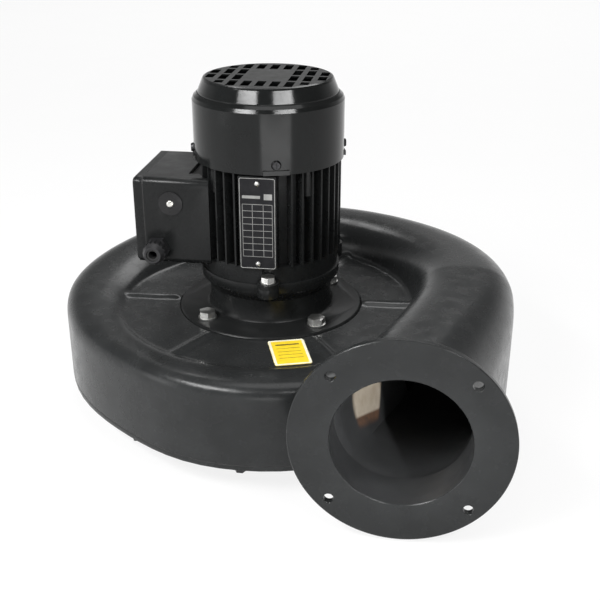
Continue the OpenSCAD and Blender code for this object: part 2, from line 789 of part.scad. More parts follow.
module drive_end_shield() {
    flange_top = seat_z + flange_t;
    inner_r = neck_r - shield_wall;
    hub_out = bearing_r + 6;
    b0 = front_bearing_z;
    color(BLACK)
    difference() {
        union() {
            rotate(ear_angle + 180 / ear_count) rotate_extrude() polygon([
                [0, seat_z - spigot_h], [spigot_d / 2, seat_z - spigot_h], [spigot_d / 2, seat_z],
                [flange_d / 2, seat_z], [flange_d / 2, flange_top - 1.5], [flange_d / 2 - 1.5, flange_top],
                [neck_r + 6, flange_top], [neck_r + 2, flange_top + 2], [neck_r, flange_top + 6],
                [neck_r, rim_z - 12], [shield_rim_r - 1, rim_z - 2],
                [shield_rim_r, rim_z], [shield_rim_r, frame_z],
                [frame_bore_d / 2 - fit, frame_z], [frame_bore_d / 2 - fit, frame_z + 4],
                [frame_bore_d / 2 - 5, frame_z + 4], [inner_r - 4, rim_z - 6], [inner_r - 4, flange_top + 4],
                [hub_out, flange_top], [hub_out, b0 + bearing_w], [0, b0 + bearing_w]]);
            ears(rim_z, frame_z);
        }
        disc(bearing_r, b0, b0 + bearing_w + eps);
        disc(bearing_bore_r + 2.6, seat_z - spigot_h - eps, b0 + eps);
        disc(seal_r, seat_z - spigot_h - eps, seat_z + 4);
        around(4, flange_bolt_r, 45) disc(m10[0] + hole_clear, seat_z - eps, flange_top + eps, $fn = fine_fn);
        around(ear_count, ear_r, ear_angle) disc(m8[0] + fit, rim_z - eps, frame_z + eps, $fn = fine_fn);
    }
}

module flange_bolts() {
    color(ZINC)
    around(4, flange_bolt_r, 45) translate([0, 0, seat_z + flange_t]) washer_screw(m10, 19, 1.6);
}

// Outline of the finned barrel, with the fins left out where a pad stands.
function fin_free(a) = (a > 252 && a < 290) || (a > 152 && a < 208);
function fin_points(a) =
    let(root = asin(fin_t * 0.7 / fin_root_r), tip = asin(fin_t * 0.4 / fin_tip_r))
    fin_free(a)
        ? [[fin_root_r * cos(a), fin_root_r * sin(a)]]
        : [for (p = [[fin_root_r, -root], [fin_tip_r, -tip], [fin_tip_r, tip], [fin_root_r, root]])
            [p[0] * cos(a + p[1]), p[0] * sin(a + p[1])]];

module motor_frame() {
    color(BLACK)
    difference() {
        union() {
            translate([0, 0, fin_z]) linear_extrude(frame_top - fin_z)
                polygon([for (k = [0 : fin_count - 1], p = fin_points(360 * k / fin_count)) p]);
            disc(fin_tip_r - 3, frame_z, fin_z);
            ears(frame_z, frame_z + ear_t);
            nameplate_pad();
            terminal_pad();
            around(4, frame_boss_at, 45) disc(frame_boss_r, frame_top - 30, frame_top, $fn = fine_fn);
        }
        disc(frame_bore_d / 2, frame_z - eps, frame_top + eps);
        around(ear_count, ear_r, ear_angle) {
            disc(m8[0] + hole_clear, frame_z - eps, frame_z + ear_t + eps, $fn = fine_fn);
            disc(0.7 * m8[1], frame_z + ear_t, fin_z + eps, $fn = fine_fn);
        }
        around(4, frame_boss_at, 45) disc(m5_r + fit, frame_top - 16, frame_top + eps, $fn = fine_fn);
        translate([box_floor_x - eps, -16, box_z - 14]) cube([30, 32, 28]);
        for (p = box_screws_at)
            toward_left(p[0], box_z + p[1], box_floor_x + 10) cylinder(r = m5_r + fit, h = 11, $fn = fine_fn);
        for (z = nameplate_rivet_z) toward_front(name_x, z, name_y + 6)
            cylinder(r = name_rivet_r + fit, h = 7, $fn = fine_fn);
    }
}

module nameplate_pad() {
    difference() {
        translate([name_x - name_w / 2, name_y, fin_z]) cube([name_w, 18, name_h + 2]);
        disc(frame_bore_d / 2, fin_z - eps, frame_top);
    }
}

module terminal_pad() {
    difference() {
        translate([box_floor_x, pad_y[0], pad_z[0]]) cube([24, pad_y[1] - pad_y[0], pad_z[1] - pad_z[0]]);
        disc(frame_bore_d / 2, pad_z[0] - eps, pad_z[1] + eps);
    }
}

module frame_screws() {
    color(ZINC)
    around(ear_count, ear_r, ear_angle) translate([0, 0, frame_z + ear_t]) washer_screw(m8, ear_t + 9, 1.2);
}

module rear_end_shield() {
    color(BLACK)
    difference() {
        union() {
            disc(frame_bore_d / 2 + 12.5, frame_top, frame_top + rear_plate_t);
            disc(frame_bore_d / 2 - fit, frame_top - 4, frame_top);
            disc(bearing_r + 6, frame_top, rear_bearing_z + rear_hub_h);
            around(4, 0, cowl_screw_angle) translate([frame_bore_d / 2, -8, frame_top])
                cube([cowl_in_r - frame_bore_d / 2 - lug_gap, 16, lug_h]);
        }
        disc(frame_bore_d / 2 - 7, frame_top - 4 - eps, frame_top - 1);
        disc(bearing_r, frame_top - 4 - eps, rear_bearing_z + bearing_w + preload_t);
        disc(bearing_bore_r + 0.5, frame_top, rear_bearing_z + rear_hub_h + eps);
        around(4, frame_boss_at, 45)
            disc(m5_r + hole_clear, frame_top - eps, frame_top + rear_plate_t + eps, $fn = fine_fn);
        around(4, 0, cowl_screw_angle) translate([cowl_in_r - 12, 0, cowl_screw_z])
            rotate([0, 90, 0]) cylinder(r = m5_r + fit, h = 14, $fn = fine_fn);
    }
}

module rear_shield_screws() {
    color(ZINC)
    around(4, frame_boss_at, 45) translate([0, 0, frame_top + rear_plate_t]) pan_screw(m5_r, 18);
}

// ---------- cooling fan and cowl

module cooling_fan() {
    color(BLACK)
    difference() {
        union() {
            disc(14, fan_z, fan_z + fan_hub_h);
            disc(fan_disc_r, fan_z, fan_z + fan_disc_t);
            around(fan_blades) translate([12, -fan_disc_t / 2, fan_z])
                cube([fan_blade_r - 12, fan_disc_t, fan_blade_h]);
        }
        disc(fan_seat_r, fan_z - eps, fan_z + fan_hub_h + eps);
    }
}
module fan_circlip() {
    color(STEEL)
    difference() {
        tube(11, fan_seat_r - 0.6, circlip_z, circlip_z + circlip_t);
        translate([0, -2, circlip_z - eps]) cube([14, 4, circlip_t + 2 * eps]);
    }
}

module cowl_skin(inset) {
    top = cowl_top - inset;
    r = cowl_r - inset;
    rotate_extrude() {
        polygon([
            [0, cowl_z - (inset > 0 ? eps : 0)], [r, cowl_z - (inset > 0 ? eps : 0)],
            [r, cowl_top - 22], [r - 1.6, cowl_top - 18.4], [r - 5, cowl_top - 15.6],
            [r - 6, cowl_top - 15.6], [r - 6, cowl_top - 14.4], [r - 11, top - 2.4],
            [r - 12, top - 0.8], [r - 14, top], [0, top]]);
    }
}

// Grille of parallel slots: columns across the top, crossed by three bars.
module grille_slots() {
    for (c = [-4 : 4], row = [-2 : 1]) {
        x = c * slot_pitch;
        y = (row + 0.5) * (slot_len + slot_cross);
        half = sqrt(max(0, grille_r * grille_r - pow(abs(x) + slot_w / 2, 2)));
        y0 = max(y - slot_len / 2, -half);
        y1 = min(y + slot_len / 2, half);
        centre = abs(c) < 2 && abs(y) < slot_len;
        if (y1 - y0 > 5 && !centre)
            translate([x - slot_w / 2, y0, cowl_top - 10]) cube([slot_w, y1 - y0, 12]);
    }
}

module fan_cowl() {
    color(BLACK)
    difference() {
        union() {
            cowl_skin(0);
            around(4, 0, cowl_screw_angle) translate([cowl_r - 3, -13, cowl_z]) cube([4, 26, 4.5]);
        }
        cowl_skin(cowl_t);
        grille_slots();
        around(4, 0, cowl_screw_angle) translate([cowl_in_r - 6, 0, cowl_screw_z])
            rotate([0, 90, 0]) cylinder(r = m5_r + hole_clear, h = 14, $fn = fine_fn);
    }
}

module cowl_screws() {
    color(ZINC)
    around(4, 0, cowl_screw_angle) translate([cowl_r + 0.05, 0, cowl_screw_z])
        rotate([0, 90, 0]) pan_screw(m5_r, 10);
}

// ---------- terminal box

module box_block(w, h, r, x0, x1) {
    translate([x1, box_y, box_z]) rotate([0, -90, 0]) rounded_plate(h, w, r, x1 - x0);
}

module box_cavity(x0, x1) {
    box_block(box_w - 2 * box_wall, box_h - 2 * box_wall, box_inner_corner, x0, x1);
}

module gland_axis(y) { toward_front(gland_pos[0], gland_pos[1], y) children(); }
module plug_axis(y) { toward_front(plug_pos[0], plug_pos[1], y) children(); }

// Screws of the lid: in the upper corners, and nearer the middle below, clear of the gland.
module lid_pillars(r, x0, x1) {
    for (p = lid_screw_pos) toward_left(p[0], p[1], x1) cylinder(r = r, h = x1 - x0, $fn = fine_fn);
}

module terminal_box() {
    color(BLACK)
    difference() {
        union() {
            difference() {
                box_block(box_w, box_h, box_corner, box_face_x, box_root_x);
                box_cavity(box_face_x - eps, board_x);
                disc(fin_tip_r + 0.8, box_z - box_h, box_z + box_h);
                translate([box_floor_x, pad_y[0] - 0.5, box_z - box_h])
                    cube([40, pad_y[1] - pad_y[0] + 1, 2 * box_h]);
            }
            lid_pillars(lid_pillar_r, box_face_x, box_floor_x - 3);
        }
        lid_pillars(m5_r + fit, box_face_x - eps, box_face_x + 14);
        toward_left(0, box_z, box_floor_x + eps) translate([-12, -14, 0]) cube([24, 28, 6]);
        for (p = box_screws_at) toward_left(p[0], box_z + p[1], box_floor_x + eps)
            cylinder(r = m5_r + hole_clear, h = 6, $fn = fine_fn);
        gland_axis(box_front_y + box_wall + 1) cylinder(r = gland_r + 0.1, h = box_wall + 2);
        plug_axis(box_front_y + box_wall + 1) cylinder(r = gland_r + 0.1, h = box_wall + 2);
    }
}

module terminal_box_screws() {
    color(ZINC)
    for (p = box_screws_at) toward_left(p[0], box_z + p[1], box_floor_x - 4) pan_screw(m5_r, 12);
}

module lid_gasket() {
    color(BLACK)
    difference() {
        union() {
            difference() {
                box_block(box_w, box_h, box_corner, box_face_x - lid_gasket_t, box_face_x);
                box_cavity(box_face_x - lid_gasket_t - eps, box_face_x + eps);
            }
            lid_pillars(lid_pillar_r, box_face_x - lid_gasket_t, box_face_x);
        }
        lid_pillars(m5_r + hole_clear, box_face_x - lid_gasket_t - eps, box_face_x + eps);
    }
}

module terminal_box_lid() {
    x0 = -box_reach;
    x1 = box_face_x - lid_gasket_t;
    color(BLACK)
    difference() {
        union() {
            difference() {
                union() {
                    box_block(box_w, box_h, box_corner, x0 + 2, x1);
                    box_block(box_w - 4, box_h - 4, box_corner - 2, x0, x0 + 2.1);
                }
                box_cavity(x0 + 3, x1 + eps);
            }
            lid_pillars(lid_pillar_r, x0 + 2, x1);
        }
        lid_pillars(m5_r + hole_clear, x0 - eps, x1 + eps);
        lid_pillars(lid_head_r, x0 - eps, x0 + lid_head_depth);
    }
}

module lid_screws() {
    color(ZINC)
    for (p = lid_screw_pos) toward_left(p[0], p[1], -box_reach + lid_head_depth)
        pan_screw(m5_r, 18);
}

// Moulded block on two feet.
module terminal_board() {
    color(LAMINATE) {
        difference() {
            translate([board_x - board_t, board_pos[0] - board_w / 2, board_pos[1] - board_h / 2])
                cube([4, board_w, board_h]);
            for (y = stud_cols, z = stud_rows)
                toward_left(y, box_z + z, board_x) cylinder(r = stud_r + fit, h = board_t + 1, $fn = fine_fn);
        }
        for (side = [-1, 1]) toward_left(board_pos[0] + side * (board_w / 2 - 3), board_pos[1], board_x)
            cylinder(r = 3, h = 5.1, $fn = fine_fn);
    }
}

module terminal_studs() {
    color(BRASS)
    for (y = stud_cols, z = stud_rows) toward_left(y, box_z + z, board_x - 2) {
        cylinder(r = stud_r, h = 22, $fn = fine_fn);
        translate([0, 0, 0.4]) cylinder(r = 3.6, h = 2.5, $fn = 6);
        translate([0, 0, 8.2]) cylinder(r = 3.9, h = 3, $fn = 6);
        translate([0, 0, 11.2]) cylinder(r = 4.2, h = 0.8, $fn = fine_fn);
    }
}

module terminal_links() {
    color(BRASS)
    for (y = stud_cols) difference() {
        translate([board_x - board_t - 1.2, y - 3.5, box_z - 13]) cube([1.2, 7, 26]);
        for (z = stud_rows) toward_left(y, box_z + z, board_x - board_t + 1)
            cylinder(r = stud_r + fit, h = 4, $fn = fine_fn);
    }
}

// Cable gland in the front wall.
module gland_body() {
    color(BLACK)
    gland_axis(box_front_y) difference() {
        union() {
            translate([0, 0, -box_wall - 7]) cylinder(r = gland_r, h = box_wall + 8);
            cylinder(r = 11.5 / cos(30), h = 6, $fn = 6);
            translate([0, 0, 5.9]) cylinder(r = 9, h = 9);
        }
        translate([0, 0, -box_wall - 8]) cylinder(r = 6.5, h = 40);
    }
}

module gland_nut() {
    color(BLACK)
    gland_axis(box_front_y - 6.4) difference() {
        union() {
            cylinder(r = 11.5, h = 10);
            translate([0, 0, 9.9]) cylinder(r1 = 11.5, r2 = 8.5, h = 5);
            around(16, 11) translate([0, -1, 0.5]) cube([1.2, 2, 9]);
        }
        translate([0, 0, -1]) cylinder(r = 9 + fit, h = 9.6 + 1);
        translate([0, 0, 5]) cylinder(r = 6.6, h = 14);
    }
}

module gland_seal() {
    color(BLACK)
    gland_axis(box_front_y - 10) difference() {
        cylinder(r = 6.5 - fit, h = 10);
        translate([0, 0, -1]) cylinder(r = 4.5, h = 14);
    }
}

module gland_locknut() {
    color(BLACK)
    gland_axis(box_front_y + box_wall + 4) difference() {
        cylinder(r = 12.5, h = 4, $fn = 6);
        translate([0, 0, -1]) cylinder(r = gland_r, h = 6);
    }
}

module blanking_plug() {
    color(BLACK)
    plug_axis(box_front_y) difference() {
        union() {
            cylinder(r1 = 12.5, r2 = 10.5, h = 3);
            translate([0, 0, -box_wall - 5]) cylinder(r = gland_r, h = box_wall + 5.1);
        }
        translate([-7, -1, 1.6]) cube([14, 2, 3]);
        translate([0, 0, -box_wall - 6]) cylinder(r = 7.5, h = box_wall + 4);
    }
}

module earth_screw() {
    color(BRASS)
    toward_left(-40, box_z - 8, board_x) {
        cylinder(r = 5, h = 1, $fn = fine_fn);
        translate([0, 0, 1]) pan_screw(m5_r, 1);
    }
}

// ---------- plates and labels

module nameplate() {
    color(ALLOY)
    difference() {
        translate([name_x - name_w / 2 + 1, name_y - name_t, fin_z + 1]) cube([name_w - 2, name_t, name_h]);
        for (z = nameplate_rivet_z) toward_front(name_x, z, name_y + 1)
            cylinder(r = name_rivet_r + fit, h = 3, $fn = fine_fn);
    }
}

module nameplate_rivets() {
    color(ZINC)
    for (z = nameplate_rivet_z) toward_front(name_x, z, name_y - name_t) {
        translate([0, 0, -name_t - 4]) cylinder(r = name_rivet_r, h = name_t + 4.1, $fn = fine_fn);
        scale(0.75) rivet_head(1);
    }
}

module label_plate() {
    color(YELLOW)
    rotate(label_angle) translate([label_r - label_size[1] / 2, -label_size[0] / 2, plate_z])
        cube([label_size[1], label_size[0], label_size[2]]);
}

scroll_housing();
inlet_cover();
cover_gasket();
cover_bolts();
impeller_back_plate();
impeller_blades();
impeller_shroud();
impeller_hub();
impeller_rivets();
impeller_key();
impeller_washer();
impeller_bolt();
shaft();
shaft_seal();
rotor_core();
rotor_cage();
stator_core();
stator_windings();
front_bearing_outer();
front_bearing_inner();
front_bearing_cage();
rear_bearing_outer();
rear_bearing_inner();
rear_bearing_cage();
preload_washer();
drive_end_shield();
flange_bolts();
motor_frame();
frame_screws();
rear_end_shield();
rear_shield_screws();
cooling_fan();
fan_circlip();
fan_cowl();
cowl_screws();
terminal_box();
terminal_box_screws();
lid_gasket();
terminal_box_lid();
lid_screws();
terminal_board();
terminal_studs();
terminal_links();
gland_body();
gland_nut();
gland_seal();
gland_locknut();
blanking_plug();
earth_screw();
nameplate();
nameplate_rivets();
label_plate();
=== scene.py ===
"""Looks of the centrifugal blower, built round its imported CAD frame.

Metres, +Z up, the motor's axis on Z and the outlet towards -Y. The volute's sections are worked out in
millimetres and degrees, as in the CAD model, and scaled when they become a mesh.
"""

import json
import math

import bmesh
import bpy
import numpy as np
from mathutils import Matrix, Vector
from mathutils.bvhtree import BVHTree


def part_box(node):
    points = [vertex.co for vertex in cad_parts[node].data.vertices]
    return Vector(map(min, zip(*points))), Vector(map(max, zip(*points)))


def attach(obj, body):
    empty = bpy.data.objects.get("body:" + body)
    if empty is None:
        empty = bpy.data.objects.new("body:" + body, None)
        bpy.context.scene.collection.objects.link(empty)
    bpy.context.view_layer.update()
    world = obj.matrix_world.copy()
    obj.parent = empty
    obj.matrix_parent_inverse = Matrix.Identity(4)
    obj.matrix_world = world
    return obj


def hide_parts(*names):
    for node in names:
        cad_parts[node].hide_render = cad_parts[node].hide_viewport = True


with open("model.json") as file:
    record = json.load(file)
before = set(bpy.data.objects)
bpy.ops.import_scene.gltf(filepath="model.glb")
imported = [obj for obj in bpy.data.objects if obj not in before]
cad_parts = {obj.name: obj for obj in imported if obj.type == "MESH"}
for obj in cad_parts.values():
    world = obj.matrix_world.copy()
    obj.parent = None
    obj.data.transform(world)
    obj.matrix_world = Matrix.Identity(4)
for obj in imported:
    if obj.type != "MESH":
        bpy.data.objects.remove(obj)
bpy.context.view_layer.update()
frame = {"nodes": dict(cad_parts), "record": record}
MM = 0.001
MOUNTS = {m["name"]: m for m in frame["record"]["mounts"]}
SLOT_OF = {s["node"]: s["material_slot"] for s in frame["record"]["subparts"]}

# ---------------------------------------------------------------- levels taken from the frame

PLATE_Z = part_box("label_plate")[0].z  # top of the volute's back plate
CASE_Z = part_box("cover_gasket")[1].z  # joint face of the casting
SPIGOT_DEPTH = 3.5 * MM  # how far the motor flange's spigot reaches below its seat
SPIGOT_HOLE_R = 65.05 * MM
SEAT_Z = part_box("drive_end_shield")[0].z + SPIGOT_DEPTH  # floor of the recess that takes the flange
FLANGE_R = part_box("drive_end_shield")[1].x
OUTLET = Vector(MOUNTS["outlet_bore"]["pos_m"])
OUTLET_R = MOUNTS["outlet_bore"]["dims"]["r_mm"] * MM
BORE_DEPTH = MOUNTS["outlet_bore"]["dims"]["length_mm"] * MM
BOLT_PCD = MOUNTS["outlet_bolts"]["dims"]["pcd_mm"] * MM
BOLT_R = MOUNTS["outlet_bolts"]["dims"]["hole_r_mm"] * MM
OUTLET_FLANGE_R = 100 * MM
OUTLET_FLANGE_T = 7 * MM

# ---------------------------------------------------------------- small helpers


def lerp(a, b, w):
    return a + (b - a) * w


def ease(x):
    x = min(1.0, max(0.0, x))
    return x * x * (3 - 2 * x)


def link(obj):
    bpy.context.scene.collection.objects.link(obj)
    return obj


def make(name, verts, faces):
    mesh = bpy.data.meshes.new(name)
    mesh.from_pydata([tuple(v) for v in verts], [], faces)
    mesh.validate()
    mesh.update()
    return link(bpy.data.objects.new(name, mesh))


def outward(obj):
    bm = bmesh.new()
    bm.from_mesh(obj.data)
    bmesh.ops.remove_doubles(bm, verts=bm.verts, dist=1e-7)
    bmesh.ops.recalc_face_normals(bm, faces=bm.faces)
    bm.to_mesh(obj.data)
    bm.free()


def cuboid(lo, hi):
    """Verts and faces of a box between two corners."""
    xs, ys, zs = zip(lo, hi)
    verts = [(x, y, z) for x in xs for y in ys for z in zs]
    faces = [(0, 1, 3, 2), (4, 6, 7, 5), (0, 4, 5, 1), (2, 3, 7, 6), (0, 2, 6, 4), (1, 5, 7, 3)]
    return verts, faces


def lofted(name, rings):
    """Closed skin through rings of equal length, given in millimetres, its ends closed by fans."""
    n, m = len(rings[0]), len(rings)
    pts = np.array([p for r in rings for p in r], float)
    ends = [np.array(rings[0]).mean(0), np.array(rings[-1]).mean(0)]
    faces = [
        (i * n + k, i * n + (k + 1) % n, (i + 1) * n + (k + 1) % n, (i + 1) * n + k)
        for i in range(m - 1)
        for k in range(n)
    ]
    faces += [(m * n, (k + 1) % n, k) for k in range(n)]
    faces += [(m * n + 1, (m - 1) * n + k, (m - 1) * n + (k + 1) % n) for k in range(n)]
    obj = make(name, np.vstack([pts, ends]) * MM, faces)
    outward(obj)
    return obj


def revolved(name, profile, steps, place=Matrix()):
    """Solid turned round Z from (radius, height) points; ends off the axis get a flat face."""
    verts, faces = [], []
    n = len(profile)
    for i in range(steps):
        a = 2 * math.pi * i / steps
        verts += [(r * math.cos(a), r * math.sin(a), z) for r, z in profile]
    for i in range(steps):
        j = (i + 1) % steps
        faces += [(i * n + k, j * n + k, j * n + k + 1, i * n + k + 1) for k in range(n - 1)]
    if profile[0][0] > 0 and profile[-1][0] > 0:
        faces.append([i * n for i in reversed(range(steps))])
        faces.append([i * n + n - 1 for i in range(steps)])
    obj = make(name, verts, faces)
    obj.data.transform(place)
    outward(obj)
    return obj


def rod(name, r, z0, z1, steps):
    return revolved(name, [(r, z0), (r, z1)], steps)


def toward_front(x, y, z):
    """Placement that lays +Z along -Y."""
    return Matrix.Translation((x, y, z)) @ Matrix.Rotation(math.radians(90), 4, "X")


def apply(obj, kind, **settings):
    """Adds one modifier and bakes it into the mesh."""
    mod = obj.modifiers.new(kind, kind)
    for key, value in settings.items():
        setattr(mod, key, value)
    evaluated = obj.evaluated_get(bpy.context.evaluated_depsgraph_get())
    mesh = bpy.data.meshes.new_from_object(evaluated)
    obj.modifiers.clear()
    old = obj.data
    obj.data = mesh
    bpy.data.meshes.remove(old)


def combine(obj, other, operation):
    """Joins the other object to this one, or cuts it out, and uses it up."""
    apply(obj, "BOOLEAN", object=other, operation=operation, solver="MANIFOLD")
    bpy.data.objects.remove(other)


def smooth(obj, angle):
    """Smooth shading, apart from edges sharper than this many degrees."""
    obj.data.shade_smooth()
    obj.data.set_sharp_from_angle(angle=math.radians(angle))


def skin_of(obj):
    """Search tree of an object's faces."""
    bm = bmesh.new()
    bm.from_mesh(obj.data)
    tree = BVHTree.FromBMesh(bm)
    bm.free()
    return tree


# ---------------------------------------------------------------- materials

PEEL = 3e-5  # height of the enamel's orange peel, metres
SCRATCH = 2e-5  # depth of the streaks on metal
COAT_ROUGHNESS = 0.12
BEVEL_SAMPLES = 6
DUST = (0.2, 0.195, 0.185)

# Where the volute's inside is unpainted and painted pale as a pool of light, in metres. Each pair is a soft
# step between its two values.
BARE_LIT_X = (0.1305, 0.132)  # only the side wall, which lies at a smaller x
BARE_LIT_Y = (-0.178, -0.172)  # only further in than this
WALL_FALL = 0.67  # the wall's foot falls with x at this slope
BARE_LIT_FROM = (0.1515, 0.1535)  # heights over that foot
# brown band of painted shade along the lower edge of the painted pool of light, where it fades: the heights
# where it starts, and its colour
PAINTED_SHADE_FROM = (0.143, 0.148)
PAINTED_SHADE_BROWN = (0.16, 0.085, 0.05)
# tones of the unpainted metal, pale enough to stand for the light that falls on it: painted light
SAND_LIT_DARK, SAND_LIT_PALE = (0.36, 0.3, 0.23), (0.5, 0.45, 0.37)


def new_material(name):
    mat = bpy.data.materials.new(name)
    mat.use_nodes = True
    return mat


class Nodes:
    """A material's node tree with short calls for what the finishes share."""

    def __init__(self, mat):
        self.mat, self.tree = mat, mat.node_tree
        self.bsdf = self.tree.nodes["Principled BSDF"]
        self.coords = self.new("TexCoord").outputs["Object"]

    def new(self, kind, **settings):
        node = self.tree.nodes.new("ShaderNode" + kind)
        for key, value in settings.items():
            setattr(node, key, value)
        return node

    def feed(self, socket, value):
        """Links another socket to this one, or sets it to a number, vector or colour."""
        if isinstance(value, bpy.types.NodeSocket):
            self.tree.links.new(value, socket)
        elif socket.type == "RGBA":
            socket.default_value = (*value, 1)
        else:
            socket.default_value = value

    def shader(self, **values):
        """Feeds the shader's sockets, named with _ for a space."""
        for name, value in values.items():
            self.feed(self.bsdf.inputs[name.replace("_", " ")], value)

    def noise(self, scale, detail=3, rough=0.55, stretch=None):
        node = self.new("TexNoise")
        source = self.coords
        if stretch:
            mapping = self.new("Mapping")
            self.feed(mapping.inputs["Scale"], stretch)
            self.feed(mapping.inputs["Vector"], source)
            source = mapping.outputs["Vector"]
        for name, value in (("Scale", scale), ("Detail", detail), ("Roughness", rough), ("Vector", source)):
            self.feed(node.inputs[name], value)
        return node.outputs["Fac"]

    def span(self, value, low, high, at=(0.3, 0.7)):
        """Takes the value from low to high as it goes through the range at."""
        node = self.new("MapRange")
        node.inputs["From Min"].default_value, node.inputs["From Max"].default_value = at
        node.inputs["To Min"].default_value, node.inputs["To Max"].default_value = low, high
        self.feed(node.inputs["Value"], value)
        return node.outputs["Result"]

    def mix(self, factor, a, b):
        node = self.new("Mix", data_type="RGBA")
        factor_socket, a_socket, b_socket = (node.inputs[i] for i in (0, 6, 7))  # the colour sockets
        self.feed(factor_socket, factor)
        self.feed(a_socket, a)
        self.feed(b_socket, b)
        return node.outputs[2]

    def math(self, operation, *values):
        node = self.new("Math", operation=operation)
        for socket, value in zip(node.inputs, values):
            self.feed(socket, value)
        return node.outputs[0]

    def bump(self, height, distance, base=None):
        node = self.new("Bump")
        self.feed(node.inputs["Distance"], distance)
        self.feed(node.inputs["Height"], height)
        if base:
            self.feed(node.inputs["Normal"], base)
        return node.outputs["Normal"]

    def rounded(self, radius):
        """Normal that rounds hard edges over this radius."""
        node = self.new("Bevel", samples=BEVEL_SAMPLES)
        self.feed(node.inputs["Radius"], radius)
        return node.outputs["Normal"]

    def axes(self, vector):
        split = self.new("SeparateXYZ")
        self.feed(split.inputs[0], vector)
        return (split.outputs[k] for k in "XYZ")

    def upward(self):
        """1 where the surface looks straight up."""
        *_, z = self.axes(self.new("NewGeometry").outputs["Normal"])
        return z


def scaled(colour, k):
    return tuple(min(1.0, c * k) for c in colour)


def paint(name, base, rough, specular, grain=0.0, dust=0.0, edge=0.0, coat=0.0, matt_top=0.0):
    """Enamel: orange peel over casting grain, uneven gloss, a little dust on top faces.

    grain is the height of the casting's grain in metres, dust the most that dust covers, edge the radius
    in millimetres over which hard edges catch the light, and matt_top what faces that look straight up
    have on top of the roughness.
    """
    n = Nodes(new_material(name))
    mottle = n.span(n.noise(26, 5), 0, 1)
    colour = n.mix(mottle, scaled(base, 0.82), scaled(base, 1.18))
    if dust:
        patchy = n.span(n.noise(55, 6), 0.2, 1.0)
        settled = n.math("MULTIPLY", n.span(n.upward(), 0, dust, (0.6, 1.0)), patchy)
        colour = n.mix(settled, colour, DUST)
    uneven = n.span(n.noise(70, 5), rough - 0.05, rough + 0.06)
    duller = n.span(n.upward(), 0, matt_top, (0.9, 0.99))
    normal = n.rounded(edge * MM) if edge else None
    if grain:
        normal = n.bump(n.noise(380, 5, 0.6), grain, base=normal)
    normal = n.bump(n.noise(950, 2, 0.4), PEEL, base=normal)
    n.shader(Base_Color=colour, Roughness=n.math("ADD", uneven, duller), Normal=normal,
             Specular_IOR_Level=specular, Coat_Weight=coat, Coat_Roughness=COAT_ROUGHNESS)
    return n.mat


def metal(name, base, rough, stretch):
    """Machined or plated metal, streaked across the axes that stretch draws together."""
    n = Nodes(new_material(name))
    mottle = n.span(n.noise(120, 4), 0, 1)
    streaks = n.span(n.noise(260, 5, 0.6, stretch), rough - 0.08, rough + 0.1)
    n.shader(Base_Color=n.mix(mottle, scaled(base, 0.82), scaled(base, 1.1)), Roughness=streaks,
             Normal=n.bump(n.noise(700, 4, 0.6, stretch), SCRATCH), Metallic=1.0)
    return n.mat


def plastic(name, base, rough, grain=3e-5, specular=0.4):
    """Moulded plastic, rubber or print, with a fine grain of this height in metres."""
    n = Nodes(new_material(name))
    mottle = n.span(n.noise(160, 4), 0, 1)
    uneven = n.span(n.noise(220, 4), rough - 0.05, rough + 0.08)
    n.shader(Base_Color=n.mix(mottle, scaled(base, 0.9), scaled(base, 1.1)), Roughness=uneven,
             Normal=n.bump(n.noise(1300, 3), grain), Specular_IOR_Level=specular)
    return n.mat


FINISH = {
    "cast_paint": paint("cast_paint", (0.0175, 0.0185, 0.0188), 0.25, 0.25, grain=5e-5, dust=0.02, edge=0.8),
    "motor_paint": paint("motor_paint", (0.009, 0.0095, 0.0096), 0.28, 0.18,
                         grain=2e-5, dust=0.015, matt_top=0.1),
    "cowl_paint": paint("cowl_paint", (0.0066, 0.0071, 0.0071), 0.12, 0.16,
                        dust=0.01, coat=0.14, matt_top=0.3),
    "thin_paint": paint("thin_paint", (0.034, 0.035, 0.036), 0.36, 0.45, grain=6e-5),
    "zinc": metal("zinc", (0.62, 0.62, 0.6), 0.34, (3, 3, 3)),
    "black_steel": metal("black_steel", (0.05, 0.05, 0.052), 0.38, (2, 2, 2)),
    "steel": metal("steel", (0.5, 0.51, 0.52), 0.3, (1, 1, 12)),
    "alloy": metal("alloy", (0.72, 0.69, 0.64), 0.5, (2, 2, 2)),
    "plate_metal": metal("plate_metal", (0.028, 0.028, 0.03), 0.36, (14, 1, 1)),
    "label_yellow": plastic("label_yellow", (0.86, 0.62, 0.03), 0.34, 1e-5),
    "bright_pin": metal("bright_pin", (0.78, 0.77, 0.73), 0.22, (2, 2, 2)),
    "gloss_plastic": plastic("gloss_plastic", (0.01, 0.01, 0.0105), 0.24, 1e-5, specular=0.3),
    "black_plastic": plastic("black_plastic", (0.014, 0.014, 0.015), 0.42),
    "board": plastic("board", (0.3, 0.17, 0.1), 0.5),
    "elastomer": plastic("elastomer", (0.016, 0.016, 0.016), 0.62),
    "brass": metal("brass", (0.72, 0.53, 0.25), 0.3, (2, 2, 2)),
    "copper": metal("copper", (0.55, 0.27, 0.12), 0.38, (1, 1, 6)),
}
RULED = metal("plate_lines", (0.36, 0.36, 0.35), 0.42, (14, 1, 1))
BORDER = plastic("label_border", (0.8, 0.78, 0.62), 0.36, 1e-5)
INK = plastic("label_lines", (0.09, 0.07, 0.03), 0.4, 1e-5)


